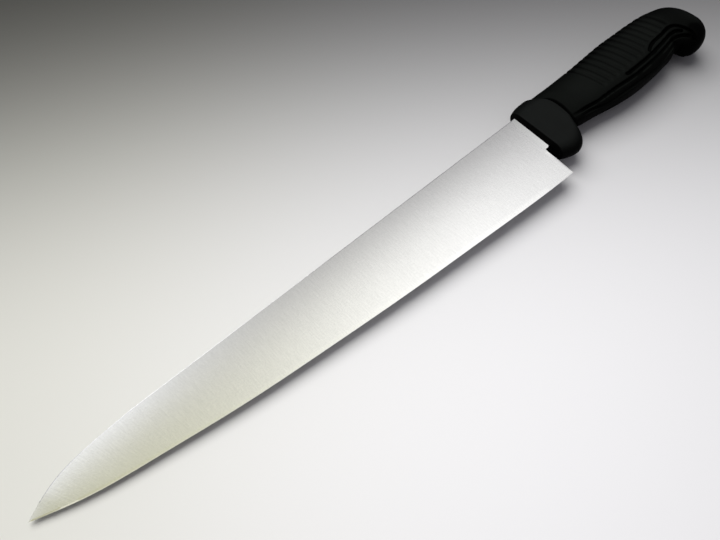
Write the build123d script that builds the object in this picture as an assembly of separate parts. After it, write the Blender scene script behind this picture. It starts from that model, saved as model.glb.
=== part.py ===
from build123d import *
import math
import os

# Carving knife lying on its side. Lengths are millimetres, angles are degrees.
# The origin is on the front face of the collar, at the spine of the blade and half way
# through its thickness. +X runs to the pommel, +Y to the spine and +Z up.

# Blade
blade_length = 300.5            # collar face to point
heel_height = 44.0              # spine to cutting edge at the heel
heel_setback = 3.2              # heel stands this far in front of the collar
point_drop = 12.4               # point below the line of the spine
neck_height = 24.2              # blade where it enters the collar
notch_rise = 2.4                # rounded notch between the neck and the heel
notch_lead_share = 0.64         # of heel_setback, from the collar to the notch
spine_thickness = 2.4           # at the collar, the thickness of the stock
point_thickness = 1.14          # of the tapered faces, at the spine over the point
edge_thickness = 0.56           # of the tapered faces, at the heel
bevel_angle = 15                # of the cutting bevel, each side

# Shares of blade_length and point_drop, then of blade_length and heel_height
spine_end_shares = [(0.81, 0), (0.853, 0.06), (0.892, 0.135), (0.929, 0.27), (0.966, 0.57), (1, 1)]
edge_shares = [
    (0.93, 0.43), (0.82, 0.564), (0.69, 0.69), (0.54, 0.79), (0.385, 0.875), (0.21, 0.945), (0.04, 0.998),
]

# Tang, hidden in the handle
tang_share = 0.855              # of handle_length, the length of the tang
tang_height = 16.0
tang_centre_y = -12.2
grind_runout = 2.0              # ground faces end this far inside the collar
shoulder_length = 10.0          # full neck height inside the collar
hole_radius = 3.2
hole_shares = [0.3, 0.56, 0.82]
tang_corner = 3.0

# Grip
handle_length = 131.0
grip_height = 34.0
grip_thickness = 21.6
sleeve_wall = 2.6
section_power = 2.5             # 2 would be an ellipse, more is squarer
section_step_count = 8          # steps along half of a section's curve
hook_cap_depth = 6.0            # of the rounded end of the hook
hook_cap_angles = [35, 62, 80]

# Each row is one section, from the collar to the tip of the hook: its spine point as
# shares of handle_length and grip_height, its belly point likewise, and its thickness
# as a share of grip_thickness.
grip_section_shares = [
    (0.061, 0.100, 0.061, -0.702, 0.600),
    (0.168, 0.086, 0.168, -0.740, 0.650),
    (0.305, 0.081, 0.305, -0.797, 0.830),
    (0.458, 0.105, 0.458, -0.887, 0.955),
    (0.565, 0.121, 0.573, -0.895, 0.990),
    (0.649, 0.123, 0.668, -0.874, 1.000),
    (0.714, 0.120, 0.735, -0.847, 0.985),
    (0.765, 0.110, 0.782, -0.811, 0.975),
    (0.814, 0.095, 0.805, -0.743, 0.965),
    (0.870, 0.051, 0.819, -0.737, 0.960),
    (0.943, -0.044, 0.831, -0.759, 0.952),
    (0.997, -0.304, 0.837, -0.791, 0.940),
    (1.005, -0.574, 0.839, -0.821, 0.920),
    (0.984, -0.793, 0.839, -0.844, 0.870),
]

# Collar
collar_front_height = 37.2      # of its front face
collar_front_thickness = 11.8
collar_length = 19.5            # to the crown of its rear arc
collar_end_share = 1.1          # length of its rounded ends, of half its thickness
collar_front_rounding = 0.6

# Rows as for the grip, as shares of collar_length, collar_front_height and
# collar_front_thickness.
collar_section_shares = [
    (0, 0.078, 0, -0.904, 1.00),
    (0.21, 0.110, 0.233, -0.960, 1.05),
    (0.44, 0.119, 0.544, -0.987, 1.12),
    (0.67, 0.117, 0.802, -0.912, 1.18),
    (0.87, 0.096, 0.915, -0.788, 1.22),
    (1.08, 0.081, 0.966, -0.700, 1.22),
    (1.33, 0.082, 1.057, -0.619, 1.22),
]
# Rear arc of the collar and the back of its finger guard, as shares of collar_length
# and collar_front_height
collar_arc_shares = [
    (0.50, 0.16), (0.75, -0.03), (0.92, -0.13), (1, -0.31),
    (0.98, -0.50), (0.99, -0.65), (1.12, -0.76), (1.35, -0.92),
]

# Cross ribs on both sides, which run over the spine
rib_pitch = 4.78
rib_count = 14
rib_gap_width = 1.9
rib_depth = 0.45
rib_slant_angle = 11
first_rib_gap_x = 43.9
# Lower edge of the ribbed zone, as shares of handle_length and grip_height
rib_zone_shares = [(0.27, -0.62), (0.44, -0.63), (0.61, -0.62), (0.655, -0.52), (0.87, -0.44)]

# Long flutes along the belly, which curl into the hook
flute_width = 1.5
flute_depth = 1.2
# Centre lines, as shares of handle_length and grip_height
flute_path_shares = [
    [
        (0.642, -0.635), (0.674, -0.565), (0.765, -0.518), (0.815, -0.494), (0.847, -0.521),
        (0.868, -0.603), (0.879, -0.718), (0.879, -0.853), (0.873, -0.912),
    ],
    [
        (0.465, -0.668), (0.603, -0.671), (0.680, -0.647), (0.756, -0.600),
        (0.815, -0.565), (0.838, -0.585), (0.858, -0.642),
    ],
    [
        (0.335, -0.676), (0.458, -0.744), (0.573, -0.753), (0.672, -0.726), (0.748, -0.676),
        (0.815, -0.635), (0.836, -0.656), (0.856, -0.718), (0.866, -0.785),
    ],
    [
        (0.183, -0.641), (0.267, -0.688), (0.351, -0.744), (0.458, -0.803),
        (0.573, -0.814), (0.672, -0.797), (0.740, -0.747), (0.782, -0.706),
    ],
]

# Pockets in the core that the sleeve fills, so that it can't slide off
lock_count = 4
lock_length = 9.0
lock_height = 7.0
lock_corner = 2.4
lock_floor = 4.8                # above the mid plane
lock_pitch = 20.0
first_lock_x = 36.0

overrun = 5.0                   # of all cuts past what they cut


def outline_points(shares, along, across, sign=1):
    """Points from a table of shares of two lengths."""
    return [(sign * x * along, y * across) for x, y in shares]


def superellipse_points(half_x, half_y):
    """Points on the upper half of a curve between an ellipse and a rectangle."""
    points = []
    for step in range(section_step_count + 1):
        turn = math.pi * step / section_step_count
        across, up = math.cos(turn), math.sin(turn)
        points.append(Vector(
            half_x * math.copysign(abs(across) ** (2 / section_power), across),
            half_y * abs(up) ** (2 / section_power),
        ))
    return points


def distances_along(points):
    """How far each point lies from the first one, going from point to point."""
    distances = [0]
    for before, after in zip(points, points[1:]):
        distances.append(distances[-1] + (after - before).length)
    return distances


def half_superellipse(half_x, half_y):
    """The face under the upper half of a superellipse, with its knots alike in all sections."""
    points = superellipse_points(half_x, half_y)
    speed = distances_along(points)[-1]
    knots = distances_along(superellipse_points(grip_height / 2, grip_thickness / 2))
    curve = Edge.make_spline(
        points,
        tangents=[(0, speed), (0, -speed)],
        parameters=[knot / knots[-1] for knot in knots],
        scale=False,
    )
    return make_face([curve, Line(points[-1], points[0])])


def half_rounded(half_x, half_y):
    """The upper half of a rectangle with round ends, closed below."""
    end_length = collar_end_share * half_y
    flat_x = half_x - end_length
    return make_face([
        Line((-half_x, 0), (half_x, 0)),
        EllipticalCenterArc((flat_x, 0), end_length, half_y, start_angle=0),
        Line((flat_x, half_y), (-flat_x, half_y)),
        EllipticalCenterArc((-flat_x, 0), end_length, half_y, start_angle=90),
    ])


def section(row, lengths, inset=0, shift=0):
    """The plane of a cross-section, moved ahead by shift, with half its height and thickness."""
    spine_x, spine_y, belly_x, belly_y, thickness_share = row
    along, across, thickness = lengths
    spine = Vector(spine_x * along, spine_y * across)
    belly = Vector(belly_x * along, belly_y * across)
    up = (spine - belly).normalized()
    ahead = Vector(up.Y, -up.X, 0)
    plane = Plane(origin=(spine + belly) * 0.5 + ahead * shift, x_dir=up, z_dir=ahead)
    half_height = (spine - belly).length / 2 - inset
    half_thickness = thickness_share * thickness / 2 - inset
    return plane, half_height, half_thickness


def half_grip(inset=0):
    """The upper half of the grip with its hook, drawn in by inset."""
    lengths = (handle_length, grip_height, grip_thickness)
    places = [(row, 0) for row in grip_section_shares]
    places += [(grip_section_shares[-1], math.radians(angle)) for angle in hook_cap_angles]
    faces = []
    for row, turn in places:
        shift = (hook_cap_depth - inset) * math.sin(turn)
        plane, height, thickness = section(row, lengths, inset, shift)
        faces.append(plane * half_superellipse(height * math.cos(turn), thickness * math.cos(turn)))
    return loft(faces)


def half_collar():
    """The upper half of the collar with its finger guard, cut along its rear arc."""
    lengths = (collar_length, collar_front_height, collar_front_thickness)
    faces = []
    for row in collar_section_shares:
        plane, height, thickness = section(row, lengths)
        faces.append(plane * half_rounded(height, thickness))
    body = loft(faces)
    front = body.faces().sort_by(Axis.X)[0]
    rim = front.edges().sort_by(Axis.Z)[1:]
    return fillet(rim, collar_front_rounding) & collar_zone()


def both_sides(upper):
    """An upper half and its mirror image as one solid."""
    return upper + mirror(upper, Plane.XY)


def collar_zone():
    """All that lies in front of the rear arc of the collar."""
    arc = outline_points(collar_arc_shares, collar_length, collar_front_height)
    curve = Spline(*arc)
    left, low = -overrun, -collar_front_height - overrun
    rim = Polyline(arc[-1], (arc[-1][0], low), (left, low), (left, arc[0][1]), arc[0])
    return extrude(make_face(curve + rim), grip_thickness)


def face_plane():
    """The tapered upper side of the blade, through the spine at both ends and the heel."""
    at_collar = Vector(0, 0, spine_thickness / 2)
    at_point = Vector(-blade_length, 0, point_thickness / 2)
    at_heel = Vector(-heel_setback, -heel_height, edge_thickness / 2)
    normal = (at_heel - at_collar).cross(at_point - at_collar).normalized()
    if normal.Z < 0:
        normal = -normal
    return Plane(origin=at_collar, x_dir=at_collar - at_point, z_dir=normal)


def edge_points():
    """The cutting edge in the plane of the blade, from the point to the heel."""
    middle = outline_points(edge_shares, blade_length, -heel_height, -1)
    return [(-blade_length, -point_drop), *middle, (-heel_setback, -heel_height)]


def blade_outline():
    """The side view of the blade, from its spine at the collar round to its neck."""
    spine_end = outline_points(spine_end_shares, blade_length, -point_drop, -1)
    notch_top = (-heel_setback, -neck_height - notch_rise)
    notch_end = (-heel_setback * notch_lead_share, -neck_height)
    spine = Line((0, 0), spine_end[0])
    drop = Spline(*spine_end)
    cut = Spline(*edge_points())
    back = Line(edge_points()[-1], notch_top)
    notch = Spline(notch_top, notch_end, tangents=[(0, 1), (1, 0)])
    neck = Polyline(notch_end, (0, -neck_height), (0, 0))
    return make_face(spine + drop + cut + back + notch + neck)


def bevel_wedge():
    """The room between the two bevels that meet in the cutting edge."""
    edge = edge_points()
    ahead = (edge[0][0] - overrun, edge[0][1] + overrun)
    behind = (overrun, -heel_height)
    over = spine_thickness + overrun
    rim = Polyline(edge[-1], behind, (behind[0], over), (ahead[0], over), ahead, edge[0])
    region = make_face(Spline(*edge) + rim)
    slope = math.radians(bevel_angle)
    reach = spine_thickness / math.sin(slope)
    upper = extrude(region, reach, dir=(0, math.cos(slope), math.sin(slope)))
    lower = extrude(region, reach, dir=(0, math.cos(slope), -math.sin(slope)))
    return upper + lower


def tang():
    """The flat tang with its shoulder, and holes that the plastic runs through."""
    tang_length = tang_share * handle_length
    shoulder = Pos((grind_runout + shoulder_length) / 2, -neck_height / 2) * Rectangle(
        shoulder_length - grind_runout, neck_height
    )
    strip_length = tang_length - grind_runout
    strip = Pos(grind_runout + strip_length / 2, tang_centre_y) * Rectangle(strip_length, tang_height)
    outline = shoulder + strip
    corners = outline.vertices().group_by(Axis.X)[-1]
    outline = fillet(corners, tang_corner)
    for share in hole_shares:
        outline -= Pos(share * tang_length, tang_centre_y) * Circle(hole_radius)
    return extrude(outline, spine_thickness / 2, both=True)


def make_blade():
    """Tapered from both sides, so that each face is flat and meets its cutting bevel.

    Inside the collar the section stays as it is at the front of the collar.
    """
    plate = extrude(blade_outline(), spine_thickness / 2, both=True)
    plate = split(plate, bisect_by=face_plane(), keep=Keep.BOTTOM)
    plate = plate & mirror(plate, Plane.XY) & bevel_wedge()
    root = extrude(plate.faces().sort_by(Axis.X)[-1], grind_runout)
    return plate + root + tang()


def locks():
    """Pockets in the upper side of the core."""
    cells = Sketch()
    for number in range(lock_count):
        centre_x = first_lock_x + number * lock_pitch
        cells += Pos(centre_x, tang_centre_y) * RectangleRounded(lock_length, lock_height, lock_corner)
    return extrude(Pos(0, 0, lock_floor) * cells, grip_thickness)


def half_core():
    """The upper half of the core under the sleeve."""
    return half_grip(sleeve_wall) - locks()


def make_core(blade):
    """Hard plastic with the collar, moulded round the tang and through its holes."""
    return both_sides(half_core() + half_collar()) - blade


def rib_gaps():
    """Slanted gaps between the cross ribs, within the ribbed zone."""
    bands = Sketch()
    for number in range(rib_count):
        centre_x = first_rib_gap_x + number * rib_pitch
        band = Rot(0, 0, rib_slant_angle) * Rectangle(rib_gap_width, 2 * grip_height)
        bands += Pos(centre_x, 0) * band
    lower = outline_points(rib_zone_shares, handle_length, grip_height)
    rim = Polyline(*lower, (lower[-1][0], grip_height), (lower[0][0], grip_height), lower[0])
    return extrude(bands & make_face(rim), grip_thickness) - half_grip(rib_depth)


def flutes():
    """Channels of one width and depth along the belly."""
    ribbons = Sketch()
    for shares in flute_path_shares:
        path = Spline(*outline_points(shares, handle_length, grip_height))
        ribbons += trace(path, flute_width)
    return extrude(ribbons, grip_thickness) - half_grip(flute_depth)


def make_sleeve():
    """Soft skin moulded over the core, from the rear arc of the collar to the hook."""
    upper = half_grip() - flutes() - rib_gaps() - half_core() - collar_zone()
    return both_sides(upper)


def main():
    os.makedirs("parts", exist_ok=True)
    blade = make_blade()
    core = make_core(blade)
    sleeve = make_sleeve()
    for name, piece in (("blade", blade), ("handle_core", core), ("grip_sleeve", sleeve)):
        export_step(piece, "parts/" + name + ".step")


main()
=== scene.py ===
"""Carving knife with a satin blade, a smooth collar and a ribbed soft grip, on a pale table."""
import functools
import math

import bpy
import numpy as np
from bpy.props import FloatProperty, FloatVectorProperty, IntProperty, PointerProperty
from mathutils import Matrix, Vector


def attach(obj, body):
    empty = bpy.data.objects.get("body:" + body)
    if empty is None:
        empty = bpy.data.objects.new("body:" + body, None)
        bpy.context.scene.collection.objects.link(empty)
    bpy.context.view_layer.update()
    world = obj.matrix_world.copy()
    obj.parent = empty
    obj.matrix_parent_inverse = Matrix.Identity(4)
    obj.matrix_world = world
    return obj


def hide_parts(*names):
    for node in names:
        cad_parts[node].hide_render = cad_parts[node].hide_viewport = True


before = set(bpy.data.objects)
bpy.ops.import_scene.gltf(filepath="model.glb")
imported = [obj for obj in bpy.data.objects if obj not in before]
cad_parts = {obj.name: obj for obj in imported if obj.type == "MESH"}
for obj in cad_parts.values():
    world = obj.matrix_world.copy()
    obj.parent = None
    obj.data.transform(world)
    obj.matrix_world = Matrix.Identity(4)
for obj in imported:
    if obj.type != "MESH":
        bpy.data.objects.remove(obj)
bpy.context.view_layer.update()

bl_info = {
    "name": "Carving Knife",
    "version": (1, 0, 0),
    "blender": (4, 5, 0),
    "location": "3D View > Sidebar > Knife",
    "description": "Builds a carving knife with a moulded handle, and its stage",
    "category": "Add Mesh",
}

MM = 0.001
# Vertices closer than this are one; lower than this they lie on the middle plane.
MERGE = 1e-6
FLAT = 1e-7

# Outline of the blade. Shares of its length and of the drop of its point, then of its
# length and of the height of its heel.
SPINE_END_SHARES = [(0.81, 0), (0.853, 0.06), (0.892, 0.135), (0.929, 0.27), (0.966, 0.57), (1, 1)]
EDGE_SHARES = [
    (0.93, 0.43), (0.82, 0.564), (0.69, 0.69), (0.54, 0.79), (0.385, 0.875), (0.21, 0.945), (0.04, 0.998),
]
# The grinding lines lean to the point: where that starts, where it is full, and how much.
FAN_START, FAN_END, FAN_LEAN = -200 * MM, -300 * MM, 0.45
# The share of the blade that thins out to the point, and the share of thickness left there.
THIN_SHARE, THIN_LEFT = 0.04, 0.35
# The most of the blade's height that the cutting bevel takes near the point.
BEVEL_LIMIT = 0.45
# A row by the spine keeps its corner crisp: its distance in roundings, and its limit in rows.
HOLD_REACH, HOLD_LIMIT = 1.6, 0.9
# How much closer the columns of the mesh stand near the point.
CROWDING = 0.12

# Cross-sections of the grip from the collar to the hook: spine point and belly point as
# shares of its length and height, then a share of its thickness.
GRIP_ROWS = [
    (0.061, 0.100, 0.061, -0.702, 0.600),
    (0.168, 0.086, 0.168, -0.740, 0.650),
    (0.305, 0.081, 0.305, -0.797, 0.830),
    (0.458, 0.105, 0.458, -0.887, 0.955),
    (0.565, 0.121, 0.573, -0.895, 0.990),
    (0.649, 0.113, 0.668, -0.874, 1.000),
    (0.714, 0.110, 0.735, -0.847, 0.985),
    (0.765, 0.100, 0.782, -0.811, 0.975),
    (0.814, 0.085, 0.805, -0.743, 0.965),
    (0.870, 0.041, 0.819, -0.737, 0.960),
    (0.943, -0.054, 0.831, -0.759, 0.952),
    (0.995, -0.304, 0.837, -0.791, 0.940),
    (1.006, -0.600, 0.839, -0.815, 0.925),
]
# Likewise for the collar, as shares of its own sizes.
COLLAR_ROWS = [
    (0, 0.078, 0, -0.904, 1.00),
    (0.21, 0.110, 0.233, -0.960, 1.05),
    (0.44, 0.119, 0.544, -0.987, 1.12),
    (0.67, 0.117, 0.802, -0.912, 1.18),
    (0.87, 0.096, 0.915, -0.788, 1.22),
    (1.08, 0.081, 0.966, -0.700, 1.22),
    (1.33, 0.082, 1.057, -0.619, 1.22),
]
# Where the collar ends and the grip starts.
COLLAR_ARC = [
    (0.50, 0.16), (0.75, -0.03), (0.92, -0.13), (1, -0.31),
    (0.98, -0.50), (0.99, -0.65), (1.12, -0.76), (1.35, -0.92),
]
# Lower edge of the ribbed zone and the centre lines of the flutes, on the grip.
RIB_ZONE = [(0.27, -0.62), (0.44, -0.63), (0.61, -0.62), (0.655, -0.52), (0.87, -0.44)]
FLUTE_PATHS = [
    [
        (0.642, -0.635), (0.674, -0.565), (0.765, -0.518), (0.815, -0.494), (0.847, -0.521),
        (0.868, -0.603), (0.879, -0.718), (0.879, -0.853), (0.873, -0.912),
    ],
    [
        (0.469, -0.682), (0.504, -0.691), (0.573, -0.691), (0.611, -0.688), (0.649, -0.676), (0.687, -0.662),
        (0.725, -0.644), (0.763, -0.621), (0.802, -0.6), (0.84, -0.618), (0.857, -0.665),
    ],
    [
        (0.153, -0.618), (0.191, -0.647), (0.229, -0.665), (0.267, -0.691), (0.305, -0.712), (0.382, -0.735),
        (0.458, -0.765), (0.534, -0.779), (0.573, -0.779), (0.649, -0.762), (0.725, -0.732), (0.763, -0.706),
        (0.802, -0.68), (0.838, -0.7), (0.855, -0.75), (0.863, -0.81),
    ],
    [
        (0.191, -0.706), (0.229, -0.724), (0.267, -0.747), (0.305, -0.776), (0.344, -0.803), (0.382, -0.826),
        (0.458, -0.856), (0.534, -0.868), (0.611, -0.865), (0.687, -0.841), (0.74, -0.803), (0.79, -0.755),
    ],
]
# How many of the 160 places on each flute its run-in takes.
FLUTE_RUN_INS = (8, 8, 25, 25)
# Shares of half its width between which the wall of a flute rises.
FLUTE_WALL = (1.2, 0.35)
# Slant of the ribs, the flat part of each wave, and the shares of the pitch in which the first
# and the last gap set in.
RIB_SLANT, RIB_LAND, RIB_SET_IN = math.radians(11), 0.15, 0.2
# Over the spine, between these heights, the gaps get deeper by this share.
RIB_TURN, RIB_EXTRA = (-3 * MM, 2 * MM), 2
# Between these heights over the lower edge of their zone the gaps set in.
RIB_FADE = (-0.5 * MM, 3 * MM)
# Between these heights the joint behind the collar fades out; the step keeps a share there.
JOINT_FADE, STEP_KEPT = (3.4 * MM, -1 * MM), 0.3
# How far behind the collar the step reaches, and between which distances the joint ends.
STEP_RUN, JOINT_RUN = 9 * MM, (3.2 * MM, 1.6 * MM)
# Painted shade, given as hollows that are not cut: in the throat of the hook (shares of the grip's
# length and height, and a radius), behind the collar (share of the joint, and a run) and on the pommel.
THROAT, THROAT_RADIUS = (0.905, -0.88), 5.5 * MM
COLLAR_SHADE, COLLAR_SHADE_RUN = 0.8, 26 * MM
POMMEL_START, POMMEL_END = (96 * MM, 116 * MM), (136 * MM, 118 * MM)

# Painted shade of the plastics by the direction they face: a weight for each direction, the power
# of their sum and the least shade.
FACING_SIDES, FACING_FRONT, FACING_REAR, FACING_SPINE = 0.9, -0.4, -0.12, -0.35
FACING_POWER, LEAST_SHADE = 4, 0.07
# Painted shade of a hollow 1 mm deep, which grows with the square of the depth, and its limit.
HOLLOW_SHADE, HOLLOW_LIMIT = 0.3, 0.93
# Painted glow of the collar, seen only in mirrors, on the line of the spine, and its change per metre.
MIRRORED_LIGHT, MIRRORED_SLOPE = 0.56, -15.0

# The camera: focal length in millimetres on a 36 mm sensor, direction, target and distance.
CAMERA_LENS, CAMERA_TURN, CAMERA_RISE = 39.857, math.radians(-42.06), math.radians(59.29)
CAMERA_TARGET, CAMERA_DISTANCE = (-123.43, -14.05, 0), 378.39 * MM
# The table: where it meets the point, and its slope up to the handle.
TABLE_PLACE, TABLE_SLOPE = (-300 * MM, 0, -2.4 * MM), math.atan2(8.75, 376)
# Directions on the table as the camera sees it. Painted light falls off away from it over a band
# with a place, a width, a tilt and a bow round a centre. Then the light before the band, the
# rest behind it, and a painted pool of light round the blade with its gain.
AWAY, RIGHT = (0.67, 0.742), (0.742, -0.67)
BAND_PLACE, BAND_WIDTH, BAND_TILT = 0.037, 0.0572, -0.284
BAND_BOW, BOW_CENTRE = 0.255, -0.254
BAND_LIGHT, BAND_REST = 0.717, 0.016
POOL_AWAY, POOL_RIGHT, POOL_GAIN = (-0.0915, 0.2343), (-0.0464, 0.1987), 0.3246
# Tints of the table on the left and in the near left corner, and where they fall off.
LEFT_TINT, LEFT_FALL = (0, 0.002, -0.095), (-0.15, 0.05)
CORNER_TINT, CORNER_RIGHT, CORNER_AWAY = (-0.06, -0.06, -0.06), (-0.16, 0.03), (-0.16, 0.02)


def length(name, description, millimetres):
    """A size property, kept in metres."""
    return FloatProperty(
        name=name, description=description, default=millimetres * MM, min=0, unit="LENGTH", precision=5
    )


def colour(name, description, value):
    """A colour property."""
    return FloatVectorProperty(
        name=name, description=description, default=value, size=3, min=0, max=1, subtype="COLOR"
    )


def strength(name, description, value):
    """The strength of a light."""
    return FloatProperty(name=name, description=description, default=value)


class BladeSettings(bpy.types.PropertyGroup):
    blade_length: length("Length", "From the collar to the point", 300.5)
    heel_height: length("Heel height", "From the spine to the cutting edge at the heel", 44)
    heel_setback: length("Heel setback", "Distance of the heel from the collar", 3.2)
    point_drop: length("Point drop", "Point below the line of the spine", 12.4)
    neck_height: length("Neck height", "Height where the blade enters the collar", 24.2)
    notch_rise: length("Notch rise", "Height of the rounded notch at the heel", 2.4)
    notch_lead: length("Notch lead", "Straight neck between the collar and the notch", 2.05)
    neck_inset: length("Neck inset", "Reach of the neck into the collar", 2)
    spine_thickness: length("Spine thickness", "Thickness at the collar", 2.4)
    point_thickness: length("Point thickness", "Thickness of the spine over the point", 1.14)
    edge_thickness: length("Edge thickness", "Thickness above the cutting bevel at the heel", 0.5)
    bevel_width: length("Bevel width", "Width of the cutting bevel", 0.6)
    crown: length("Crown", "Bulge of the ground side between spine and edge", 0.16)
    corner: length("Corner", "Rounding of the corners of the spine", 0.32)
    steel: colour("Steel", "Colour of the ground steel", (0.74, 0.743, 0.74))


class HandleSettings(bpy.types.PropertyGroup):
    handle_length: length("Length", "From the collar face to the pommel", 131)
    grip_height: length("Height", "Height of the grip", 34)
    grip_thickness: length("Thickness", "Thickness of the grip", 21.6)
    hook_cap: length("Hook cap", "Depth of the rounded end of the hook", 9.5)
    collar_length: length("Collar length", "To the crown of its rear arc", 19.5)
    collar_height: length("Collar height", "Height of its front face", 37.2)
    collar_thickness: length("Collar thickness", "Thickness of its front face", 11.8)
    collar_round: length("Collar rounding", "Rounding of the rim of its front face", 0.6)
    collar_rim: length("Collar rim", "Width of the rim inside its closed ends", 1.6)
    tuck: length("Tuck", "How far the grip starts before the rear edge of the collar", 1.2)
    rib_pitch: length("Rib pitch", "From rib to rib", 4.78)
    rib_start: length("First rib gap", "Place of the first gap on the line of the spine", 43.9)
    rib_depth: length("Rib depth", "Depth of the gaps between the ribs", 0.6)
    rib_count: IntProperty(name="Rib gaps", description="Number of gaps between ribs", default=14)
    flute_width: length("Flute width", "Width of the long flutes", 1.9)
    flute_depth: length("Flute depth", "Depth of the long flutes", 1.5)
    step: length("Step", "Depth of the grip below the collar's rear edge", 0.6)
    joint_depth: length("Joint", "Further depth right behind the collar", 1.3)
    collar_plastic: colour("Collar plastic", "Colour of the collar", (0.0104, 0.0114, 0.0107))
    grip_elastomer: colour("Grip elastomer", "Colour of the grip", (0.0070, 0.0080, 0.0071))


class StageSettings(bpy.types.PropertyGroup):
    floor: colour("Table", "Colour of the table in the light", (0.92, 0.92, 0.92))
    floor_size: length("Table size", "Side of the table", 6000)
    diffuser: strength("Diffuser", "Strength of the wide diffuser above", 1)
    key_power: strength("Key", "Strength of the soft light behind", 109)
    key_size: length("Key size", "Side of that light", 2900)
    world_strength: strength("Surroundings", "Strength of the light all round", 0.256)


# Geometry helpers

def spline(knots, values, at):
    """Natural cubic spline through values at knots, read at the places given."""
    knots, values = np.asarray(knots, float), np.asarray(values, float)
    count, gap = len(knots), np.diff(knots)
    matrix, right = np.eye(count), np.zeros_like(values)
    for i in range(1, count - 1):
        matrix[i, i - 1:i + 2] = gap[i - 1], 2 * (gap[i - 1] + gap[i]), gap[i]
        right[i] = 6 * ((values[i + 1] - values[i]) / gap[i] - (values[i] - values[i - 1]) / gap[i - 1])
    bend = np.linalg.solve(matrix, right)
    i = np.clip(np.searchsorted(knots, at) - 1, 0, count - 2)
    span = gap[i]
    before, after = (knots[i + 1] - at) / span, (at - knots[i]) / span
    if values.ndim > 1:
        before, after, span = before[..., None], after[..., None], span[..., None]
    curve = (before ** 3 - before) * bend[i] + (after ** 3 - after) * bend[i + 1]
    return before * values[i] + after * values[i + 1] + curve * span ** 2 / 6


def path_points(points, count):
    """Evenly spaced points on a smooth path through the given ones."""
    points = np.asarray(points, float)
    knots = np.r_[0, np.cumsum(np.linalg.norm(np.diff(points, axis=0), axis=1))]
    return spline(knots, points, np.linspace(0, knots[-1], count))


def scaled(shares, along, across):
    """Points from a table of shares of two lengths."""
    return np.asarray(shares, float) * (along, across)


def smooth_step(low, high, value):
    """From 0 at low to 1 at high, without corners."""
    part = np.clip((value - low) / (high - low), 0, 1)
    return part * part * (3 - 2 * part)


class Loft:
    """A body along a table of cross-sections, read at any place along it."""

    def __init__(self, rows, along, across, thickness):
        rows = np.asarray(rows, float)
        self.table = rows * (along, across, along, across, thickness / 2)
        spine, belly = self.table[:, :2], self.table[:, 2:4]
        sides = spine, (spine + belly) / 2, belly
        steps = [np.linalg.norm(np.diff(side, axis=0), axis=1) for side in sides]
        self.knots = np.r_[0, np.cumsum(np.mean(steps, axis=0))]
        self.end = self.knots[-1]

    def read(self, at):
        """Spine point, belly point and half thickness at the places given."""
        rows = spline(self.knots, self.table, at)
        return rows[..., :2], rows[..., 2:4], rows[..., 4]

    def points(self, at, across, up):
        """Points at shares of half the height and half the thickness of each section."""
        spine, belly, half = self.read(at)
        middle, reach = (spine + belly) / 2, (spine - belly) / 2
        return np.concatenate([middle + reach * across[..., None], (half * up)[..., None]], axis=-1)


def ring_shape(count, power=2.5, proportion=1.55):
    """Directions round a section between an ellipse and a rectangle, evenly spaced on it."""
    dense = np.linspace(0, 2 * math.pi, 40 * count)
    across = np.sign(np.cos(dense)) * np.abs(np.cos(dense)) ** (2 / power)
    up = np.sign(np.sin(dense)) * np.abs(np.sin(dense)) ** (2 / power)
    steps = np.hypot(np.diff(across * proportion), np.diff(up))
    reach = np.r_[0, np.cumsum(steps)]
    even = np.linspace(0, reach[-1], count, endpoint=False)
    return np.interp(even, reach, across), np.interp(even, reach, up)


def arc_x(settings, y):
    """Where the rear arc of the collar lies at each height."""
    arc = path_points(scaled(COLLAR_ARC, settings.collar_length, settings.collar_height), 200)
    return np.interp(y, arc[::-1, 1], arc[::-1, 0])


def crossing(points_at, end, shape, settings, shift=0.0):
    """For each line along a body, the place where it meets the rear arc of the collar."""
    at = np.linspace(0, end, 500)
    found = []
    for direction in zip(*shape):
        points = points_at(at, *(np.full_like(at, value) for value in direction))
        ahead = points[:, 0] - arc_x(settings, points[:, 1]) - shift
        first = np.argmax(ahead > 0)
        part = ahead[first - 1] / (ahead[first - 1] - ahead[first])
        found.append(at[first - 1] + part * (at[first] - at[first - 1]))
    return np.array(found)


def tube(points_at, first, last, spread, shape):
    """Rings of points between two places on each line along a body."""
    places = first * (1 - spread[:, None]) + last * spread[:, None]
    return points_at(places, *(np.broadcast_to(part, places.shape) for part in shape))


# Mesh helpers

def shaped_grid(name, points):
    """A new grid whose vertices, which run along x and then y, lie at an array of points."""
    columns, rows = points.shape[:2]
    bpy.ops.mesh.primitive_grid_add(x_subdivisions=columns - 1, y_subdivisions=rows - 1, size=1)
    grid = bpy.context.object
    grid.name = grid.data.name = name
    grid.data.vertices.foreach_set("co", points.transpose(1, 0, 2).ravel())
    grid.data.update()
    return grid


def closed(rings):
    """Rings with their first column again as the last."""
    return np.concatenate([rings, rings[:, :1]], axis=1)


def read(items, name, kind=int, size=1):
    """One or more values of each vertex, edge or corner of a mesh."""
    values = np.zeros(len(items) * size, kind)
    items.foreach_get(name, values)
    return values


def coordinates(obj):
    """All vertex places of an object."""
    return read(obj.data.vertices, "co", float, 3).reshape(-1, 3)


def edge_middles(obj):
    """The middle of each edge and the vertices at its ends."""
    ends = read(obj.data.edges, "vertices", int, 2).reshape(-1, 2)
    return coordinates(obj)[ends].mean(axis=1), ends


def select_edges(obj, chosen):
    """Goes to edit mode with just the chosen edges selected."""
    mesh = obj.data
    mesh.polygons.foreach_set("select", np.zeros(len(mesh.polygons), bool))
    mesh.vertices.foreach_set("select", np.zeros(len(mesh.vertices), bool))
    mesh.edges.foreach_set("select", chosen)
    bpy.context.tool_settings.mesh_select_mode = (False, True, False)
    bpy.ops.object.mode_set(mode="EDIT")


def border(obj):
    """Which edges belong to one face only."""
    return np.bincount(read(obj.data.loops, "edge_index"), minlength=len(obj.data.edges)) == 1


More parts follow.
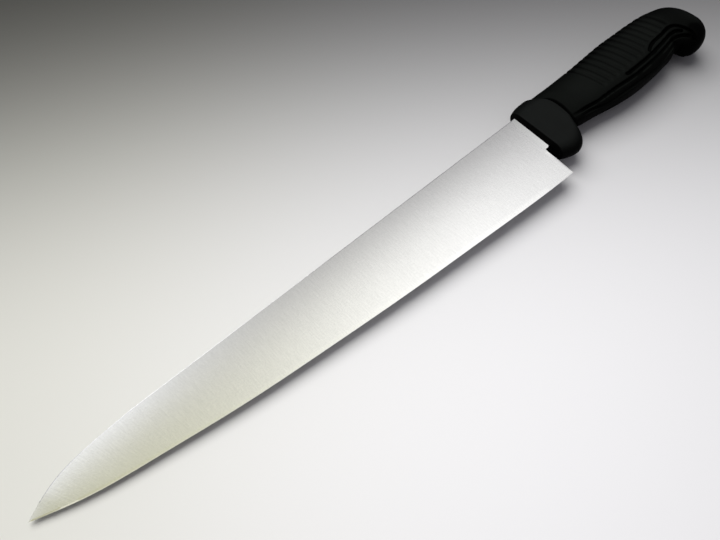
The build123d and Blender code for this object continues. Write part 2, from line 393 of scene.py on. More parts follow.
def edge_normals(obj):
    """For each edge, the normals of the faces that meet there."""
    found = {edge.key: [] for edge in obj.data.edges}
    for face in obj.data.polygons:
        for pair in face.edge_keys:
            found[pair].append(face.normal.copy())
    return list(found.values())


def close_ends(obj, middle, rim=0):
    """Closes both ends of a tube, one on each side of a place along x, with a rim inside."""
    for front in (True, False):
        ahead = edge_middles(obj)[0][:, 0] < middle
        select_edges(obj, border(obj) & (ahead == front))
        bpy.ops.mesh.edge_face_add()
        if rim:
            bpy.ops.mesh.inset(thickness=rim)
        bpy.ops.object.mode_set(mode="OBJECT")


def tidy_mesh(obj, angle, distance=MERGE):
    """Closes the seams, turns all faces outwards and shades the piece smooth up to an angle."""
    bpy.ops.object.mode_set(mode="EDIT")
    bpy.ops.mesh.select_all(action="SELECT")
    bpy.ops.mesh.remove_doubles(threshold=distance)
    bpy.ops.mesh.normals_make_consistent(inside=False)
    bpy.ops.object.mode_set(mode="OBJECT")
    bpy.ops.object.select_all(action="DESELECT")
    obj.select_set(True)
    bpy.ops.object.shade_smooth_by_angle(angle=math.radians(angle))


def finish_piece(obj, material, node):
    """Gives a piece its finish, and lets it stand for its node on the knife."""
    obj.data.materials.append(material)
    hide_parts(node)
    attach(obj, "root")


# Materials

def new_group(name, inputs, outputs):
    """A shader node group whose inputs are numbers or, where no default is given, vectors."""
    group = bpy.data.node_groups.new(name, "ShaderNodeTree")
    for label, default in inputs.items():
        kind = "NodeSocketVector" if default is None else "NodeSocketFloat"
        socket = group.interface.new_socket(label, in_out="INPUT", socket_type=kind)
        if default is not None:
            socket.default_value = default
    for label in outputs:
        group.interface.new_socket(label, in_out="OUTPUT", socket_type="NodeSocketFloat")
    return group, group.nodes.new("NodeGroupInput").outputs, group.nodes.new("NodeGroupOutput").inputs


def node(tree, kind, settings=None, **inputs):
    """A node with its settings, and its inputs linked or set."""
    made = tree.nodes.new("ShaderNode" + kind)
    for key, value in (settings or {}).items():
        setattr(made, key, value)
    for key, value in inputs.items():
        target = made.inputs[int(key[1:])] if key[1:].isdigit() else made.inputs[key.replace("_", " ")]
        if isinstance(value, bpy.types.NodeSocket):
            tree.links.new(value, target)
        else:
            target.default_value = value
    return made


def maths(tree, operation, *values):
    """The result of one arithmetic step."""
    made = node(tree, "Math", {"operation": operation}, **{f"i{i}": v for i, v in enumerate(values)})
    return made.outputs[0]


def noise(tree, vector, scale, detail=3):
    """A cloudy pattern round 0.5."""
    return node(tree, "TexNoise", Vector=vector, Scale=scale, Detail=detail).outputs[0]


def grinding_lines(group, vector, density):
    """Relief, cloudiness and shade of fine grinding lines that run from the spine to the edge."""
    line_scale, speck_scale, cloud_scale, depth_of_shade = 1500, 1100, 22, 0.16
    stretched = node(group, "Mapping", Vector=vector, Scale=(1, 0.1, 1)).outputs[0]
    lines = noise(group, stretched, maths(group, "MULTIPLY", density, line_scale))
    height = maths(group, "ADD", lines, noise(group, vector, speck_scale))
    swing = maths(group, "SUBTRACT", noise(group, vector, cloud_scale), 0.5)
    return height, swing, maths(group, "MULTIPLY_ADD", maths(group, "SUBTRACT", height, 1), depth_of_shade, 1)


def moulded_grain(group, vector, scale):
    """Relief, cloudiness and shade of the faint grain of a mould, with handling marks."""
    cloud_scale, depth_of_shade = 70, 0.5
    swing = maths(group, "SUBTRACT", noise(group, vector, cloud_scale, 4), 0.5)
    return noise(group, vector, scale, 2), swing, maths(group, "MULTIPLY_ADD", swing, depth_of_shade, 1)


def effect_group(name, pattern):
    """A group that gives relief, roughness and shade."""
    inputs = {"Vector": None, "Scale": 1.0, "Roughness": 0.5, "Spread": 0.1}
    group, given, result = new_group(name, inputs, ("Height", "Roughness", "Shade"))
    height, swing, shade = pattern(group, given["Vector"], given["Scale"])
    rough = maths(group, "MULTIPLY_ADD", swing, given["Spread"], given["Roughness"])
    for label, value in (("Height", height), ("Roughness", rough), ("Shade", shade)):
        group.links.new(value, result[label])
    return group


def painted_shade_group(name):
    """Painted shade of a moulded surface: darker in its hollows and where it turns away from the light."""
    group, given, result = new_group(name, {"Normal": None, "Hollow": 0.0, "Shade": 1.0}, ("Shade",))
    along, across, sides = node(group, "SeparateXYZ", Vector=given["Normal"]).outputs
    facing = maths(group, "MULTIPLY", maths(group, "ABSOLUTE", sides), FACING_SIDES)
    for part, limit, weight in (
        (along, "MINIMUM", FACING_FRONT), (along, "MAXIMUM", FACING_REAR), (across, "MAXIMUM", FACING_SPINE),
    ):
        facing = maths(group, "MULTIPLY_ADD", maths(group, limit, part, 0), weight, facing)
    facing = maths(group, "POWER", maths(group, "MAXIMUM", facing, 0), FACING_POWER)
    facing = maths(group, "MULTIPLY_ADD", facing, 1 - LEAST_SHADE, LEAST_SHADE)
    deep = maths(group, "MULTIPLY", maths(group, "POWER", given["Hollow"], 2), HOLLOW_SHADE)
    open_share = maths(group, "SUBTRACT", 1, maths(group, "MINIMUM", deep, HOLLOW_LIMIT))
    shade = maths(group, "MULTIPLY", given["Shade"], facing)
    group.links.new(maths(group, "MULTIPLY", shade, open_share), result["Shade"])
    return group


def shared_group(tree, name, build, *details, **inputs):
    """A node with the group of that name, which is built at its first use."""
    group = bpy.data.node_groups.get(name) or build(name, *details)
    return node(tree, "Group", {"node_tree": group}, **inputs)


def fall(tree, value, centre, width):
    """From 1 to 0 as a value passes the centre, or from 0 to 1 with a negative width."""
    bend = maths(tree, "DIVIDE", maths(tree, "SUBTRACT", value, centre), width)
    return maths(tree, "DIVIDE", 1, maths(tree, "ADD", maths(tree, "EXPONENT", bend), 1))


def bell(tree, value, centre, width):
    """1 at the centre and 0 far from it."""
    bend = maths(tree, "POWER", maths(tree, "DIVIDE", maths(tree, "SUBTRACT", value, centre), width), 2)
    return maths(tree, "EXPONENT", maths(tree, "MULTIPLY", bend, -1))


def new_material(name):
    """An empty material with its shader."""
    material = bpy.data.materials.new(name)
    material.use_nodes = True
    return material, material.node_tree, material.node_tree.nodes["Principled BSDF"]


def object_place(tree):
    """The place on the object as three values."""
    return node(tree, "SeparateXYZ", Vector=node(tree, "TexCoord").outputs["Object"]).outputs


def shaded_colour(tree, base, shade):
    """A colour made lighter and darker by a value round one."""
    return node(tree, "VectorMath", {"operation": "SCALE"}, i0=tuple(base), Scale=shade).outputs[0]


def added_colour(tree, first, second):
    """The sum of two colours."""
    return node(tree, "VectorMath", {"operation": "ADD"}, i0=first, i1=second).outputs[0]


def wire_effect(tree, shader, made, strength, distance):
    """Links an effect's roughness and relief to the shader."""
    tree.links.new(made.outputs["Roughness"], shader.inputs["Roughness"])
    relief = node(tree, "Bump", Strength=strength, Distance=distance, Height=made.outputs["Height"])
    tree.links.new(relief.outputs[0], shader.inputs["Normal"])


def steel_material(name, base, density, roughness, strength):
    """Ground stainless steel."""
    material, tree, shader = new_material(name)
    shader.inputs["Metallic"].default_value = 1
    place = node(tree, "UVMap", {"uv_map": "Grind"}).outputs[0]
    made = shared_group(
        tree, "Grinding lines", effect_group, grinding_lines,
        Vector=place, Scale=density, Roughness=roughness, Spread=0.12,
    )
    wire_effect(tree, shader, made, strength, 0.02 * MM)
    tree.links.new(shaded_colour(tree, base, made.outputs["Shade"]), shader.inputs["Base Color"])
    return material


def plastic_material(name, base, roughness, scale, strength):
    """Matte moulded plastic or elastomer."""
    material, tree, shader = new_material(name)
    shader.inputs["Specular IOR Level"].default_value = 0.012
    place = node(tree, "TexCoord")
    made = shared_group(
        tree, "Moulded grain", effect_group, moulded_grain,
        Vector=place.outputs["Object"], Scale=scale, Roughness=roughness, Spread=0.2,
    )
    wire_effect(tree, shader, made, strength, 0.05 * MM)
    # Painted shade: the colour gets darker in hollows and where the surface turns from the light.
    hollow = node(tree, "Attribute", {"attribute_name": "Hollow"}).outputs["Fac"]
    dark = shared_group(
        tree, "Hollows and turned sides", painted_shade_group,
        Normal=place.outputs["Normal"], Hollow=hollow, Shade=made.outputs["Shade"],
    )
    tree.links.new(shaded_colour(tree, base, dark.outputs["Shade"]), shader.inputs["Base Color"])
    return material


# Pieces

class KnifeOperator:
    """What all the builders share."""

    bl_options = {"REGISTER", "UNDO"}


class OBJECT_OT_knife_blade(KnifeOperator, bpy.types.Operator):
    """Build the blade, ground on both sides down to its cutting bevel"""

    bl_idname = "object.knife_blade"
    bl_label = "Blade"

    def spine_y(self, s, x):
        """Height of the spine at each place along the blade."""
        end = path_points(scaled(SPINE_END_SHARES, -s.blade_length, -s.point_drop), 120)
        return np.interp(x, end[::-1, 0], end[::-1, 1])

    def edge_y(self, s, x):
        """Height of the cutting edge at each place along the blade."""
        middle = scaled(EDGE_SHARES, -s.blade_length, -s.heel_height)
        ends = (-s.blade_length, -s.point_drop), (-s.heel_setback, -s.heel_height)
        edge = path_points([ends[0], *middle, ends[1]], 600)
        return np.interp(x, edge[:, 0], edge[:, 1])

    def side_z(self, s, x, y):
        """Height of the flat tapered side over the middle plane."""
        corners = np.array([
            (0, 0, s.spine_thickness / 2),
            (-s.blade_length, 0, s.point_thickness / 2),
            (-s.heel_setback, -s.heel_height, s.edge_thickness / 2),
        ])
        normal = np.cross(corners[1] - corners[0], corners[2] - corners[0])
        return corners[0, 2] - (normal[0] * x + normal[1] * y) / normal[2]

    def lean(self, x):
        """How far the grinding lines lean towards the point at each place along the blade."""
        return FAN_LEAN * smooth_step(FAN_START, FAN_END, x)

    def side_points(self, s, shares, stations):
        """Columns of points from the spine over the bevel line to the edge."""
        x_spine = -s.heel_setback - (s.blade_length - s.heel_setback) * stations
        y_spine = self.spine_y(s, x_spine)
        x_edge = x_spine + self.lean(x_spine) * (y_spine - self.edge_y(s, x_spine))
        x_edge = np.minimum(x_edge, -s.heel_setback)
        y_edge = self.edge_y(s, x_edge)
        y_bevel = y_edge + np.minimum(s.bevel_width, BEVEL_LIMIT * (y_spine - y_edge))
        hold = HOLD_REACH * s.corner / np.maximum(y_spine - y_bevel, 0.1 * MM)
        hold = np.clip(hold, 0, HOLD_LIMIT * shares[1])
        shares = np.insert(np.repeat(shares[None], len(stations), axis=0), 1, hold, axis=1)
        x = x_spine[:, None] + (x_edge - x_spine)[:, None] * shares
        y = y_spine[:, None] + (y_bevel - y_spine)[:, None] * shares
        taper = np.clip((y_spine - y_edge)[:, None] / s.heel_height, 0, 1)
        z = self.side_z(s, x, y) + 4 * s.crown * taper * shares * (1 - shares)
        z *= smooth_step(1, 1 - THIN_SHARE, stations)[:, None] * (1 - THIN_LEFT) + THIN_LEFT
        face = np.stack([x, y, z], axis=-1)
        edge = np.stack([x_edge, y_edge, np.zeros_like(x_edge)], axis=-1)[:, None]
        return np.concatenate([face, edge], axis=1)

    def neck_points(self, s, column, count):
        """Columns of points from the first full column back into the collar."""
        top, bottom = -s.neck_height - s.notch_rise, -s.neck_height
        turn = np.linspace(0, math.pi / 2, count - 2)
        notch_x = -s.heel_setback + (s.heel_setback - s.notch_lead) * (1 - np.cos(turn))
        x = np.r_[notch_x, 0, s.neck_inset]
        low = np.r_[top + (bottom - top) * np.sin(turn), bottom, bottom]
        points = np.repeat(column[None], count, axis=0)
        points[:, :, 0] = x[:, None]
        points[:, :, 1] = column[None, :, 1] * (low / column[-1, 1])[:, None]
        return points

    def execute(self, context):
        s = context.scene.knife_blade
        notch_row, rows, neck_rings, columns = 12, 20, 9, 260
        notch_share = (s.neck_height + s.notch_rise) / (s.heel_height - s.bevel_width)
        above = np.linspace(0, notch_share, notch_row, endpoint=False)
        shares = np.r_[above, np.linspace(notch_share, 1, rows - notch_row)]
        stations = np.linspace(0, 1, columns)
        stations = stations + CROWDING * np.sin(math.pi * stations) * stations
        side = self.side_points(s, shares, stations)
        obj = shaped_grid("blade_steel", side)
        shaped_grid("neck", self.neck_points(s, side[0, :notch_row + 2], neck_rings))
        obj.select_set(True)
        context.view_layer.objects.active = obj
        bpy.ops.object.join()
        tidy_mesh(obj, 30)
        self.close_rim(s, obj)
        self.mirror_side()
        tidy_mesh(obj, 19, 2 * MERGE)
        self.add_grind_map(s, obj)
        bevel = steel_material("Cutting bevel", s.steel, density=1.6, roughness=0.2, strength=0.15)
        ground = steel_material("Ground steel", s.steel, density=1.0, roughness=0.16, strength=0.25)
        finish_piece(obj, ground, "blade")
        obj.data.materials.append(bevel)
        self.paint_bevel(s, obj)
        return {"FINISHED"}

    def close_rim(self, s, obj):
        """Extrudes the rim down to the middle plane and rounds its upper corner, not at the point."""
        least_height, sharpness, narrow_end = 0.1 * MM, 0.5, 8 * MM
        heights = coordinates(obj)[edge_middles(obj)[1]][:, :, 2]
        select_edges(obj, border(obj) & ~(heights < FLAT).all(axis=1))
        bpy.ops.mesh.extrude_edges_move()
        bpy.ops.transform.resize(value=(1, 1, 0), center_override=(0, 0, 0))
        bpy.ops.object.mode_set(mode="OBJECT")
        middles, ends = edge_middles(obj)
        upper = (coordinates(obj)[ends][:, :, 2] > least_height).all(axis=1)
        pairs = edge_normals(obj)
        sharp = np.array([len(pair) == 2 and abs(pair[0].dot(pair[1])) < sharpness for pair in pairs])
        wide_enough = middles[:, 0] > -s.blade_length + narrow_end
        select_edges(obj, sharp & upper & wide_enough)
        bpy.ops.mesh.bevel(offset=s.corner, segments=6, affect="EDGES")
        bpy.ops.object.mode_set(mode="OBJECT")

    def mirror_side(self):
        """Adds the other side."""
        bpy.ops.object.mode_set(mode="EDIT")
        bpy.ops.mesh.select_all(action="SELECT")
        bpy.ops.mesh.duplicate()
        bpy.ops.transform.resize(value=(1, 1, -1), center_override=(0, 0, 0))
        bpy.ops.object.mode_set(mode="OBJECT")

    def add_grind_map(self, s, obj):
        """A map in metres whose first axis crosses the grinding lines, which fan out to the point."""
        while obj.data.uv_layers:
            obj.data.uv_layers.remove(obj.data.uv_layers[0])
        layer = obj.data.uv_layers.new(name="Grind")
        points = coordinates(obj)[read(obj.data.loops, "vertex_index")]
        x, y = points[:, 0], points[:, 1]
        across = x + self.lean(x) * (y - self.spine_y(s, x))
        layer.data.foreach_set("uv", np.stack([across, y], axis=1).ravel())

    def paint_bevel(self, s, obj):
        """Gives the sloping faces by the edge, past the heel, their own finish."""
        bevel_top, steepest, flattest = 0.3 * MM, 0.8, 0.99
        for face in obj.data.polygons:
            x, y, z = face.center
            at_edge = abs(z) < bevel_top and y < -s.point_drop and x < -s.heel_setback
            if at_edge and steepest < abs(face.normal.z) < flattest:
                face.material_index = 1


class OBJECT_OT_knife_collar(KnifeOperator, bpy.types.Operator):
    """Build the smooth collar with its finger guard"""

    bl_idname = "object.knife_collar"
    bl_label = "Collar"

    def section_shape(self, ends, flats):
        """Directions round a flat section with round ends: along the flat, across and up the end."""
        turn = np.linspace(0, math.pi / 2, ends)
        flat = np.linspace(1, -1, flats)[1:-1]
        side = np.r_[np.ones(ends), flat, -np.ones(ends)]
        out = np.r_[np.cos(turn), np.zeros(flats - 2), -np.cos(turn[::-1])]
        up = np.r_[np.sin(turn), np.ones(flats - 2), np.sin(turn[::-1])]
        return np.r_[side, side[-2:0:-1]], np.r_[out, out[-2:0:-1]], np.r_[up, -up[-2:0:-1]]

    def points(self, body, at, side, out, up):
        """Points on the collar, with round ends a little longer than they are high."""
        spine, belly, half = body.read(at)
        reach = np.linalg.norm(spine - belly, axis=-1) / 2
        end = 1.1 * half
        across = (side * (reach - end) + out * end) / reach
        return body.points(at, across, up)

    def execute(self, context):
        s = context.scene.knife_handle
        body = Loft(COLLAR_ROWS, s.collar_length, s.collar_height, s.collar_thickness)
        shape = self.section_shape(14, 30)
        rings = 44
        points_at = functools.partial(self.points, body)
        last = crossing(points_at, body.end, shape, s)
        spread = np.r_[0, np.linspace(0.055, 1, rings - 1)]
        obj = shaped_grid("collar", closed(tube(points_at, 0, last, spread, shape)))
        tidy_mesh(obj, 40)
        close_ends(obj, 0.5 * MM, s.collar_rim)
        self.round_rim(s, obj)
        tidy_mesh(obj, 28)
        matte = plastic_material("Collar plastic", s.collar_plastic, roughness=0.5, scale=2600, strength=0.25)
        self.paint_mirror_glow(matte.node_tree)
        finish_piece(obj, matte, "handle_core")
        return {"FINISHED"}

    def paint_mirror_glow(self, tree):
        """Makes the collar pale where the blade mirrors it with a painted glow, seen by mirror rays only, so
        that the two meet crisply.
        """
        shader = tree.nodes["Principled BSDF"]
        mirrored = node(tree, "LightPath").outputs["Is Glossy Ray"]
        light = maths(tree, "MULTIPLY_ADD", object_place(tree)[1], MIRRORED_SLOPE, MIRRORED_LIGHT)
        glow = shaded_colour(tree, (1, 1, 1), maths(tree, "MULTIPLY", mirrored, light))
        tree.links.new(glow, shader.inputs["Emission Color"])
        shader.inputs["Emission Strength"].default_value = 1

    def round_rim(self, s, obj):
        """Rounds the rim of the front face."""
        ends = edge_middles(obj)[1]
        on_front = (np.abs(coordinates(obj)[ends][:, :, 0]) < MERGE).all(axis=1)
        select_edges(obj, on_front & self.outer(obj))
        bpy.ops.mesh.bevel(offset=s.collar_round, segments=4, affect="EDGES")
        bpy.ops.object.mode_set(mode="OBJECT")

    def outer(self, obj):
        """Which edges join a face that looks ahead to one that looks aside."""
        front, aside = -0.9, -0.7
        slopes = [[normal.x for normal in pair] for pair in edge_normals(obj)]
        return np.array([len(pair) == 2 and min(pair) < front and max(pair) > aside for pair in slopes])


class OBJECT_OT_knife_grip(KnifeOperator, bpy.types.Operator):
    """Build the soft grip with its ribs, flutes and hook"""

    bl_idname = "object.knife_grip"
    bl_label = "Grip"

    def surface(self, s, rings, around):
        """Rings of points from under the collar to the end of the hook and over its cap."""
        body = Loft(GRIP_ROWS, s.handle_length, s.grip_height, s.grip_thickness)
        shape = ring_shape(around)
        start = crossing(body.points, body.end, shape, s, -s.tuck)
        rings = tube(body.points, start, body.end, np.linspace(0, 1, rings), shape)
        return np.concatenate([rings, self.cap(s, body, *shape)])

    def cap(self, s, body, across, up):
        """Rings that round off the hook and go on in the direction of its sides."""
        last_step, steepest, rings = 1 * MM, 88, 18
        spine, belly, half = body.read(np.array([body.end - last_step, body.end - MERGE]))
        middle, reach = (spine[1] + belly[1]) / 2, (spine[1] - belly[1]) / 2
        out = reach / np.linalg.norm(reach)
        ahead = np.array([out[1], -out[0]])
        lean = [(side[1] - side[0]) @ out / ((side[1] - side[0]) @ ahead) for side in (spine, belly)]
        drift = s.hook_cap * (lean[0] * (1 + across) + lean[1] * (1 - across)) / 2
        cap = []
        for turn in np.radians(np.linspace(0, steepest, rings)[1:]):
            centre = middle + ahead * s.hook_cap * math.sin(turn)
            moved = reach * (across * math.cos(turn))[:, None]
            moved = moved + out * (drift * math.sin(turn) * math.cos(turn) ** 2)[:, None]
            cap.append(np.column_stack([centre + moved, half[1] * up * math.cos(turn)]))
        return np.array(cap)

    def normals(self, points):
        """Outward normals of a tube of rings."""
        along = np.gradient(points, axis=0)
        round_it = np.roll(points, -1, axis=1) - np.roll(points, 1, axis=1)
        normal = np.cross(round_it, along)
        normal /= np.maximum(np.linalg.norm(normal, axis=-1, keepdims=True), 1e-12)
        outward = points - points.mean(axis=1, keepdims=True)
        return normal * np.sign((normal * outward).sum())

    def rib_depth(self, s, x, y):
        """Depth of the gaps between the cross ribs."""
        phase = (x - s.rib_start + y * math.tan(RIB_SLANT)) / s.rib_pitch
        gap = smooth_step(RIB_LAND, 1, 0.5 + 0.5 * np.cos(2 * math.pi * phase))
        end = s.rib_count - 0.5
        inside = smooth_step(-0.5, -0.5 + RIB_SET_IN, phase) * smooth_step(end, end - RIB_SET_IN, phase)
        zone = scaled(RIB_ZONE, s.handle_length, s.grip_height)
        over_edge = smooth_step(*RIB_FADE, y - np.interp(x, zone[:, 0], zone[:, 1]))
        return s.rib_depth * (1 + RIB_EXTRA * smooth_step(*RIB_TURN, y)) * gap * inside * over_edge

    def lifted(self, path, upper):
        """A path with the height of the grip's upper side at each of its places."""
        heights, reach, blur = [], 0.8 * MM, 0.01 * MM
        for place in path:
            gap = np.hypot(*(upper[:, :2] - place).T)
            close = gap < reach
            weights = 1 / (gap[close] + blur)
            heights.append(np.average(upper[close, 2], weights=weights) if close.any() else 0)
        return np.column_stack([path, heights])

    def flute_depth(self, s, points):
        """Depth of the long flutes, of one width along the surface."""
        flat = points.reshape(-1, 3)
        upper = flat[flat[:, 2] > 0]
        depth = np.zeros(len(flat))
        front, top = 15 * MM, -10 * MM
        near = (flat[:, 0] > front) & (flat[:, 1] < top)
        folded = np.column_stack([flat[near, :2], np.abs(flat[near, 2])])
        for shares, run_in in zip(FLUTE_PATHS, FLUTE_RUN_INS):
            path = path_points(scaled(shares, s.handle_length, s.grip_height), 160)
            squares, nearest = np.full(len(folded), np.inf), np.zeros(len(folded))
            for index, place in enumerate(self.lifted(path, upper)):
                gap = ((folded - place) ** 2).sum(axis=1)
                closer = gap < squares
                squares[closer], nearest[closer] = gap[closer], index
            share = np.sqrt(squares) / (0.5 * s.flute_width)
            flute = s.flute_depth * smooth_step(0, run_in, nearest + 1) * smooth_step(*FLUTE_WALL, share)
            depth[near] = np.maximum(depth[near], flute)
        return depth.reshape(points.shape[:2])

    def painted_shade_depth(self, s, x, y, behind):
        """Painted shade given as depth that only darkens: the throat of the hook, behind the collar and the
        pommel.
        """
        throat = np.hypot(x - THROAT[0] * s.handle_length, y - THROAT[1] * s.grip_height)
        depth = s.flute_depth * np.exp(-(throat / THROAT_RADIUS) ** 2)
        depth = depth + COLLAR_SHADE * s.joint_depth * smooth_step(COLLAR_SHADE_RUN, 0, behind)
        return depth + s.joint_depth * smooth_step(*POMMEL_START, x) * smooth_step(*POMMEL_END, x)

    def execute(self, context):
        s = context.scene.knife_handle
        rings, around = ((330, 250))
        points = self.surface(s, rings, around)
        x, y = points[..., 0], points[..., 1]
        behind = x - arc_x(s, y)
        below = smooth_step(*JOINT_FADE, y)
        step = s.step * smooth_step(STEP_RUN, 0, behind) * (STEP_KEPT + (1 - STEP_KEPT) * below)
        hollow = s.joint_depth * smooth_step(*JOINT_RUN, behind) * below
        hollow = hollow + np.maximum(self.rib_depth(s, x, y), self.flute_depth(s, points))
        points = points - self.normals(points) * (hollow + step)[..., None]
        # Painted shade only: this depth darkens the colour and does not move the surface.
        hollow = hollow + self.painted_shade_depth(s, x, y, behind)
        obj = shaped_grid("grip", closed(points))
        # The depths go to the Hollow attribute, from which the plastics paint shade into their colour.
        shaded = obj.data.attributes.new("Hollow", "FLOAT", "POINT")
        shaded.data.foreach_set("value", closed(hollow).T.ravel() / MM)
        tidy_mesh(obj, 60)
        close_ends(obj, s.handle_length / 2)
        tidy_mesh(obj, 60)
        matte = plastic_material("Grip elastomer", s.grip_elastomer, roughness=0.55, scale=1900, strength=0.35)
        finish_piece(obj, matte, "grip_sleeve")
        return {"FINISHED"}


# Light of the wide diffuser, as the blade mirrors it: its rest, then the colour of each part and
# how that spreads along x (0) and y (1), in metres from the origin.
DIFFUSER_REST = (0.165, 0.16, 0.18)
DIFFUSER_PARTS = (
    ((0.31, 0.305, 0.29), (bell, 0, 0.1, 1.6), (fall, 1, 1.0, 0.2)),
    ((0.98, 0.98, 0.98), (bell, 0, 0.5, 0.62), (fall, 1, 0.48, 0.052)),
    ((0.93, 0.95, 1.03), (bell, 0, -0.351, 0.363), (bell, 1, 0.615, 0.105)),
    ((0.035, 0.035, -0.17), (bell, 0, -0.45, 0.7), (fall, 1, 0.5, 0.05)),
    ((2.2, 2.2, 2.2), (bell, 0, -0.05, 0.4), (fall, 1, 1.05, -0.04)),
    ((0.15, 0.15, 0.14), (bell, 0, -0.5, 0.35)),
    ((0.54, 0.54, 0.53), (bell, 0, -0.45, 0.6), (fall, 1, -0.25, 0.06)),
)


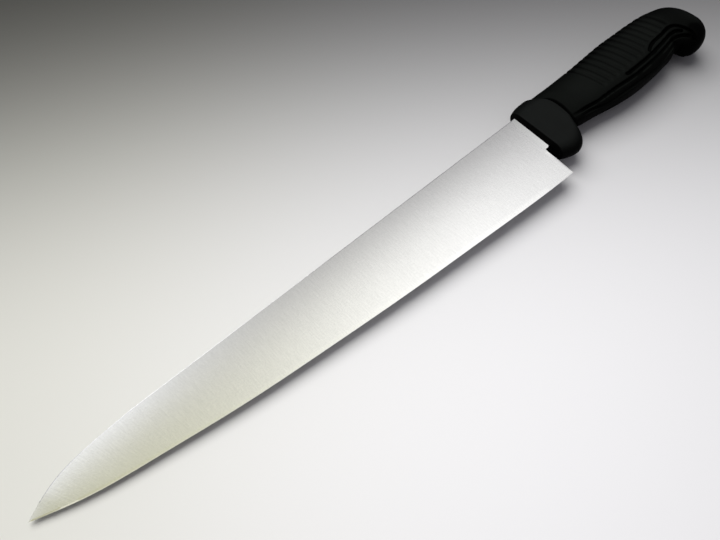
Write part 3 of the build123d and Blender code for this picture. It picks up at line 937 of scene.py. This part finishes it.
class OBJECT_OT_knife_stage(KnifeOperator, bpy.types.Operator):
    """Build the table, the lights and the camera"""

    bl_idname = "object.knife_stage"
    bl_label = "Stage"

    def add_floor(self, s):
        """A table that the knife lies on with its point and its grip."""
        bpy.ops.mesh.primitive_plane_add(size=s.floor_size)
        floor = bpy.context.object
        floor.name = "table"
        floor.matrix_world = Matrix.Translation(TABLE_PLACE) @ Matrix.Rotation(TABLE_SLOPE, 4, "Y")
        floor.data.materials.append(self.table_material(s))

    def table_material(self, s):
        """Pale paper with painted light that gets darker to the back, and a painted pool of light round the
        blade.
        """
        material, tree, shader = new_material("Table paper")
        shader.inputs["Roughness"].default_value = 0.9
        shader.inputs["Specular IOR Level"].default_value = 0.1
        x, y, _ = object_place(tree)
        x = maths(tree, "ADD", x, TABLE_PLACE[0])
        away, right = (
            maths(tree, "MULTIPLY_ADD", y, across, maths(tree, "MULTIPLY", x, along))
            for along, across in (AWAY, RIGHT)
        )
        bow = maths(tree, "POWER", maths(tree, "SUBTRACT", right, BOW_CENTRE), 2)
        reach = maths(tree, "MULTIPLY_ADD", right, BAND_TILT, away)
        reach = maths(tree, "MULTIPLY_ADD", bow, BAND_BOW, reach)
        light = fall(tree, reach, BAND_PLACE, BAND_WIDTH)
        light = maths(tree, "MULTIPLY_ADD", light, BAND_LIGHT, BAND_REST)
        pool = maths(tree, "MULTIPLY", bell(tree, away, *POOL_AWAY), bell(tree, right, *POOL_RIGHT))
        light = maths(tree, "MULTIPLY", light, maths(tree, "MULTIPLY_ADD", pool, POOL_GAIN, 1))
        corner = maths(tree, "MULTIPLY", fall(tree, right, *CORNER_RIGHT), fall(tree, away, *CORNER_AWAY))
        lit = shaded_colour(tree, s.floor, light)
        for tint, part in ((LEFT_TINT, fall(tree, right, *LEFT_FALL)), (CORNER_TINT, corner)):
            lit = added_colour(tree, lit, shaded_colour(tree, tint, maths(tree, "MULTIPLY", part, light)))
        tree.links.new(lit, shader.inputs["Base Color"])
        return material

    def add_card(self, name, size, place, turn=0.0):
        """A plane that only mirror reflections see; returns its empty material's tree."""
        bpy.ops.mesh.primitive_plane_add(size=size, location=place, rotation=(turn, 0, 0))
        card = bpy.context.object
        card.name = name
        material, tree, _ = new_material(name.replace("_", " ").capitalize())
        tree.nodes.clear()
        card.data.materials.append(material)
        card.visible_diffuse = card.visible_shadow = False
        return tree

    def light_card(self, tree, tint, strength):
        """Makes a card glow."""
        glow = node(tree, "Emission", Color=tint, Strength=strength)
        tree.links.new(glow.outputs[0], node(tree, "OutputMaterial").inputs["Surface"])

    def add_diffusers(self, s):
        """A wide diffuser above, brightest over the handle, and a bright one at the back."""
        tree = self.add_card("diffuser", size=6, place=(0, 0, 1.2))
        place, light = object_place(tree), shaded_colour(tree, DIFFUSER_REST, 1)
        for tint, *spreads in DIFFUSER_PARTS:
            part = 1.0
            for spread, axis, centre, width in spreads:
                part = maths(tree, "MULTIPLY", spread(tree, place[axis], centre, width), part)
            light = added_colour(tree, light, shaded_colour(tree, tint, part))
        self.light_card(tree, light, s.diffuser)
        rear = self.add_card("rear_diffuser", size=1.5, place=(0.1, 3, 0.75), turn=math.pi / 2)
        self.light_card(rear, (1, 1, 1, 1), strength=2.4)

    def aimed(self, data, place, direction):
        """A lamp or camera at a place, which looks in a direction."""
        made = bpy.data.objects.new(data.name, data)
        bpy.context.scene.collection.objects.link(made)
        made.location = place
        made.rotation_euler = direction.to_track_quat("-Z", "Y").to_euler()
        return made

    def add_key(self, s):
        """A soft square light above and behind, which faces the knife."""
        place, target = Vector((0.2, 1.4, 2.5)), Vector((-0.05, -0.02, 0))
        data = bpy.data.lights.new("key", "AREA")
        data.shape = "SQUARE"
        data.size, data.energy, data.color = s.key_size, s.key_power, (1, 0.995, 0.99)
        lamp = self.aimed(data, place, target - place)
        lamp.visible_glossy = False

    def add_world(self, s):
        """Even light from all round, and a pale backdrop where the camera sees it directly."""
        world = bpy.data.worlds.new("Studio")
        bpy.context.scene.world = world
        world.use_nodes = True
        tree = world.node_tree
        back = tree.nodes["Background"]
        back.inputs["Color"].default_value = (1, 0.975, 1.08, 1)
        seen, backdrop = node(tree, "LightPath").outputs["Is Camera Ray"], 0.8
        strength = maths(tree, "MULTIPLY_ADD", seen, backdrop - s.world_strength, s.world_strength)
        tree.links.new(strength, back.inputs["Strength"])

    def add_camera(self):
        """The camera, which sees the whole knife from above."""
        data = bpy.data.cameras.new("camera")
        data.lens = CAMERA_LENS
        data.sensor_width = 36
        data.clip_start = 0.01
        level = math.cos(CAMERA_RISE)
        back = Vector((math.sin(CAMERA_TURN) * level, -math.cos(CAMERA_TURN) * level, math.sin(CAMERA_RISE)))
        place = Vector(CAMERA_TARGET) * MM + back * CAMERA_DISTANCE
        bpy.context.scene.camera = self.aimed(data, place, -back)

    def execute(self, context):
        s = context.scene.knife_stage
        self.add_floor(s)
        self.add_diffusers(s)
        self.add_key(s)
        self.add_world(s)
        self.add_camera()
        context.scene.view_settings.view_transform = "Standard"
        return {"FINISHED"}


BUILDERS = OBJECT_OT_knife_blade, OBJECT_OT_knife_collar, OBJECT_OT_knife_grip, OBJECT_OT_knife_stage


class VIEW3D_PT_knife(bpy.types.Panel):
    """Lists the builders and their settings"""

    bl_idname = "VIEW3D_PT_knife"
    bl_label = "Carving Knife"
    bl_space_type = "VIEW_3D"
    bl_region_type = "UI"
    bl_category = "Knife"

    def draw(self, context):
        scene = context.scene
        for builder in BUILDERS:
            self.layout.operator(builder.bl_idname)
        for settings in (scene.knife_blade, scene.knife_handle, scene.knife_stage):
            box = self.layout.box()
            for name in settings.__annotations__:
                box.prop(settings, name)


SETTINGS = {"knife_blade": BladeSettings, "knife_handle": HandleSettings, "knife_stage": StageSettings}
CLASSES = (*SETTINGS.values(), *BUILDERS, VIEW3D_PT_knife)


def register():
    for one in CLASSES:
        bpy.utils.register_class(one)
    for name, settings in SETTINGS.items():
        setattr(bpy.types.Scene, name, PointerProperty(type=settings))


def unregister():
    for name in SETTINGS:
        delattr(bpy.types.Scene, name)
    for one in reversed(CLASSES):
        bpy.utils.unregister_class(one)


def main():
    """Builds the knife and its stage."""
    register()
    bpy.ops.object.knife_blade()
    bpy.ops.object.knife_collar()
    bpy.ops.object.knife_grip()
    bpy.ops.object.knife_stage()


if __name__ == "__main__":
    main()
